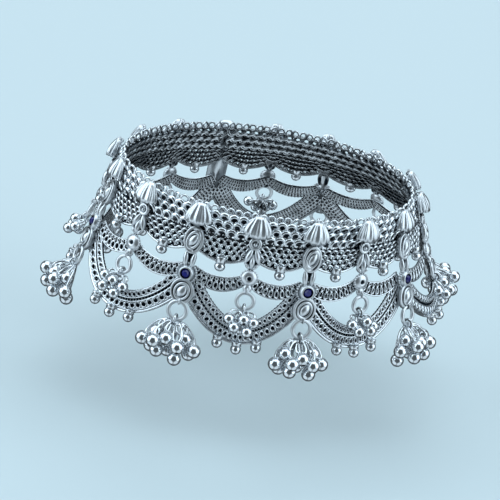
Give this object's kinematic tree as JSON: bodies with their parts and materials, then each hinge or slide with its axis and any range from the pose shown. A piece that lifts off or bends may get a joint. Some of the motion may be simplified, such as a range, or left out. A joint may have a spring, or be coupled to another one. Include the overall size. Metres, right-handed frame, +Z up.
{
  "type": "payal anklet",
  "caption": "Silver chain-net anklet with ornament stems, chain swags and bunches of small bells, worn round an ankle.",
  "frame": {"origin": "middle of the ankle's hollow, 9 mm below the anklet's top edge, where it sits on the ankle", "axes": "+Z up along the leg, -X towards the toes, +X towards the heel, the clasp at +Y"},
  "size_m": [0.1306, 0.0965, 0.0468],
  "materials": {
    "silver": "polished",
    "stone": "polished"
  },
  "bodies": {
    "root": {"clasp_plate": "silver", "chain_net_1": "silver", "chain_net_2": "silver", "chain_net_3": "silver", "chain_net_4": "silver", "wide_swag_1": "silver", "wide_swag_2": "silver", "wide_swag_3": "silver", "wide_swag_4": "silver", "wide_swag_5": "silver", "wide_swag_6": "silver", "wide_swag_7": "silver", "wide_swag_8": "silver", "slim_swag_1": "silver", "slim_swag_2": "silver", "slim_swag_3": "silver", "slim_swag_4": "silver", "slim_swag_5": "silver", "slim_swag_6": "silver", "slim_swag_7": "silver", "slim_swag_8": "silver", "tall_stem_1": "silver", "tall_stem_2": "silver", "tall_stem_3": "silver", "tall_stem_4": "silver", "tall_stem_5": "silver", "tall_stem_6": "silver", "tall_stem_7": "silver", "short_stem_1": "silver", "short_stem_2": "silver", "short_stem_3": "silver", "short_stem_4": "silver", "short_stem_5": "silver", "short_stem_6": "silver", "short_stem_7": "silver", "short_stem_8": "silver", "bell_bunch_1": "silver", "bell_bunch_2": "silver", "bell_bunch_3": "silver", "bell_bunch_4": "silver", "bell_bunch_5": "silver", "bell_bunch_6": "silver", "bell_bunch_7": "silver", "small_bunch_1": "silver", "small_bunch_2": "silver", "small_bunch_3": "silver", "small_bunch_4": "silver", "small_bunch_5": "silver", "small_bunch_6": "silver", "small_bunch_7": "silver", "small_bunch_8": "silver", "stone_1": "stone", "stone_2": "stone", "stone_3": "stone", "stone_4": "stone", "stone_5": "stone", "stone_6": "stone", "stone_7": "stone"}
  },
  "joints": []
}
